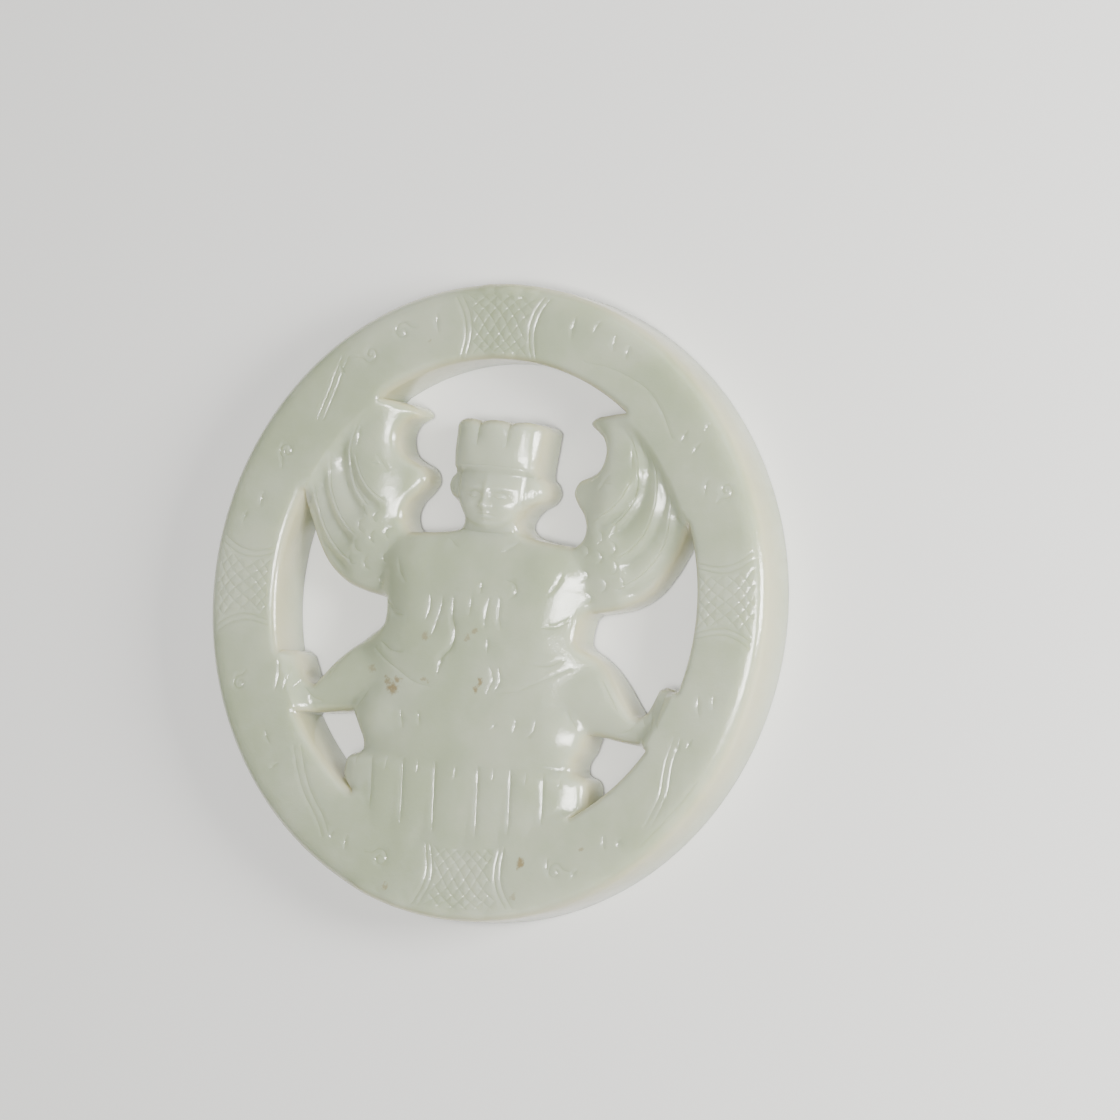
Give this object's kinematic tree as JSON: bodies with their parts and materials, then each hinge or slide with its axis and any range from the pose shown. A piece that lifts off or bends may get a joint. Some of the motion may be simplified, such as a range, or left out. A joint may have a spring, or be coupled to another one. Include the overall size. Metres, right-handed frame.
{
  "type": "openwork jade disc",
  "caption": "Flat round openwork disc of pale polished jade: an engraved ring around a frontal winged figure with a crown, clawed feet and a fluted skirt.",
  "frame": {"origin": "under the middle of the ring, on the flat back that it lies on", "axes": "+Z out of the carved face, +Y towards the figure's head, +X to the right of the figure's picture"},
  "size_m": [0.06, 0.06, 0.0057],
  "materials": {
    "jade": "polished, pale greenish white nephrite, slightly translucent"
  },
  "bodies": {
    "root": {"openwork_disc": "jade"}
  },
  "joints": []
}
